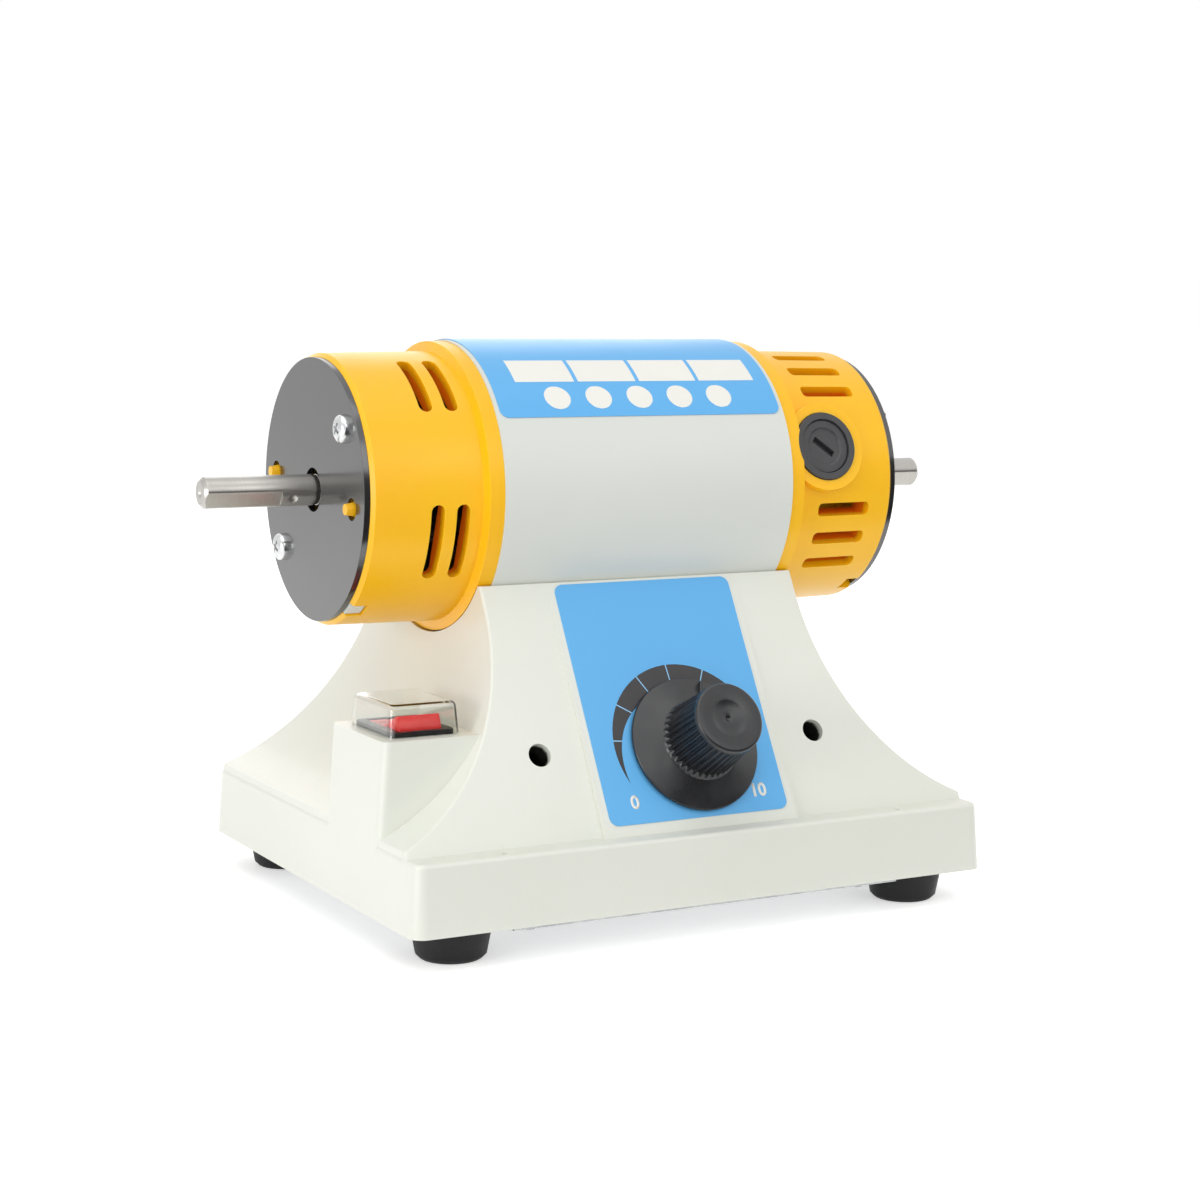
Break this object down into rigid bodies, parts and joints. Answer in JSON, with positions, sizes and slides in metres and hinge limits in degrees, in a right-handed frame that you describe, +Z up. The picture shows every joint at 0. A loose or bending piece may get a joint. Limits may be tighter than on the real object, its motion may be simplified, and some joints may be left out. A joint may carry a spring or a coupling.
{
  "type": "dental polishing lathe",
  "caption": "Bench polishing motor with a spindle at each end, in the saddle of a flared cast base with a speed knob, a covered rocker switch and rubber feet.",
  "frame": {"origin": "on the bench, at the bottom of the rubber feet, under the middle of the bounding box", "axes": "+X along the spindle towards the end with the brush gear, -Y towards the user and the speed knob, +Z up"},
  "size_m": [0.271, 0.1788, 0.1843],
  "materials": {
    "ivory_enamel": "smooth baked enamel over cast aluminium",
    "zinc_plate": "zinc-plated steel",
    "foot_rubber": "matt black rubber",
    "printed_sheet": "sky-blue printed plastic sheet",
    "knob_black": "satin black moulding",
    "brass_parts": "turned or pressed brass",
    "control_metal": "plain aluminium",
    "switch_black": "black nylon moulding",
    "rocker_red": "red translucent moulding",
    "clear_cover": "clear soft plastic",
    "board_green": "green solder mask",
    "film_capacitor": "orange moulded case",
    "copper_winding": "enamelled copper wire",
    "drum_grey": "light grey enamel over drawn steel",
    "laminated_steel": "stacked steel laminations",
    "spindle_steel": "ground steel",
    "commutator_copper": "turned copper",
    "fan_black": "black nylon moulding",
    "bearing_steel": "polished bearing steel",
    "cap_yellow": "glossy orange-yellow moulding",
    "disc_grey": "dark grey enamel",
    "brush_moulding": "black phenolic moulding",
    "carbon": "pressed carbon"
  },
  "bodies": {
    "machine": {"base_casting": "ivory_enamel", "board_screws": "zinc_plate", "board_standoffs": "brass_parts", "bottom_plate": "zinc_plate", "bottom_plate_screws": "zinc_plate", "brush_cap_front": "brush_moulding", "brush_cap_rear": "brush_moulding", "brush_holder_front": "brush_moulding", "brush_holder_rear": "brush_moulding", "brush_spring_front": "bearing_steel", "brush_spring_rear": "bearing_steel", "capacitor": "film_capacitor", "choke_coil": "copper_winding", "control_board": "board_green", "cord_grommet": "foot_rubber", "field_coil_lower": "copper_winding", "field_coil_upper": "copper_winding", "foot_back_left": "foot_rubber", "foot_back_right": "foot_rubber", "foot_front_left": "foot_rubber", "foot_front_right": "foot_rubber", "foot_screws": "zinc_plate", "front_label": "printed_sheet", "heat_plate": "control_metal", "heat_plate_screws": "zinc_plate", "left_bearing_outer": "bearing_steel", "left_end_cap": "cap_yellow", "left_end_disc": "disc_grey", "motor_drum": "drum_grey", "motor_label": "printed_sheet", "motor_mount_screws": "zinc_plate", "motor_nut_plates": "zinc_plate", "right_bearing_outer": "bearing_steel", "right_end_cap": "cap_yellow", "right_end_disc": "disc_grey", "speed_control_body": "control_metal", "speed_control_nut": "zinc_plate", "speed_control_washer": "zinc_plate", "stator_stack": "laminated_steel", "switch_cover": "clear_cover", "switch_housing": "switch_black", "switch_terminals": "brass_parts", "terminal_block": "board_green", "tie_bolt_nuts": "zinc_plate", "tie_bolts": "zinc_plate", "triac": "switch_black"},
    "spindle": {"spindle": "spindle_steel", "armature_stack": "laminated_steel", "armature_windings": "copper_winding", "commutator": "commutator_copper", "cooling_fan": "fan_black", "left_bearing_inner": "bearing_steel", "right_bearing_inner": "bearing_steel"},
    "knob": {"speed_knob": "knob_black", "knob_insert": "brass_parts", "speed_control_shaft": "control_metal"},
    "rocker": {"switch_rocker": "rocker_red"},
    "front_brush": {"carbon_brush_front": "carbon"},
    "rear_brush": {"carbon_brush_rear": "carbon"}
  },
  "joints": [
    {"name": "spindle_spin", "type": "hinge", "parent": "machine", "child": "spindle", "pos_m": [0, 0.006, 0.1365], "axis": [1, 0, 0], "continuous": true},
    {"name": "knob_turn", "type": "hinge", "parent": "machine", "child": "knob", "pos_m": [0.0034, -0.06163, 0.05678], "axis": [0, 0.8712, -0.4909], "range_deg": [-138, 102]},
    {"name": "rocker_press", "type": "hinge", "parent": "machine", "child": "rocker", "pos_m": [-0.084, -0.034, 0.06363], "axis": [1, 0, 0], "range_deg": [0, 24.2]},
    {"name": "front_brush_slide", "type": "slide", "parent": "machine", "child": "front_brush", "axis": [0, -0.9588, 0.284], "range_m": [0, 0.004], "stiffness_N_per_m": 300, "springref_m": -0.004, "deforming": ["brush_spring_front"]},
    {"name": "rear_brush_slide", "type": "slide", "parent": "machine", "child": "rear_brush", "axis": [0, 0.9588, -0.284], "range_m": [0, 0.004], "stiffness_N_per_m": 300, "springref_m": -0.004, "deforming": ["brush_spring_rear"]}
  ]
}
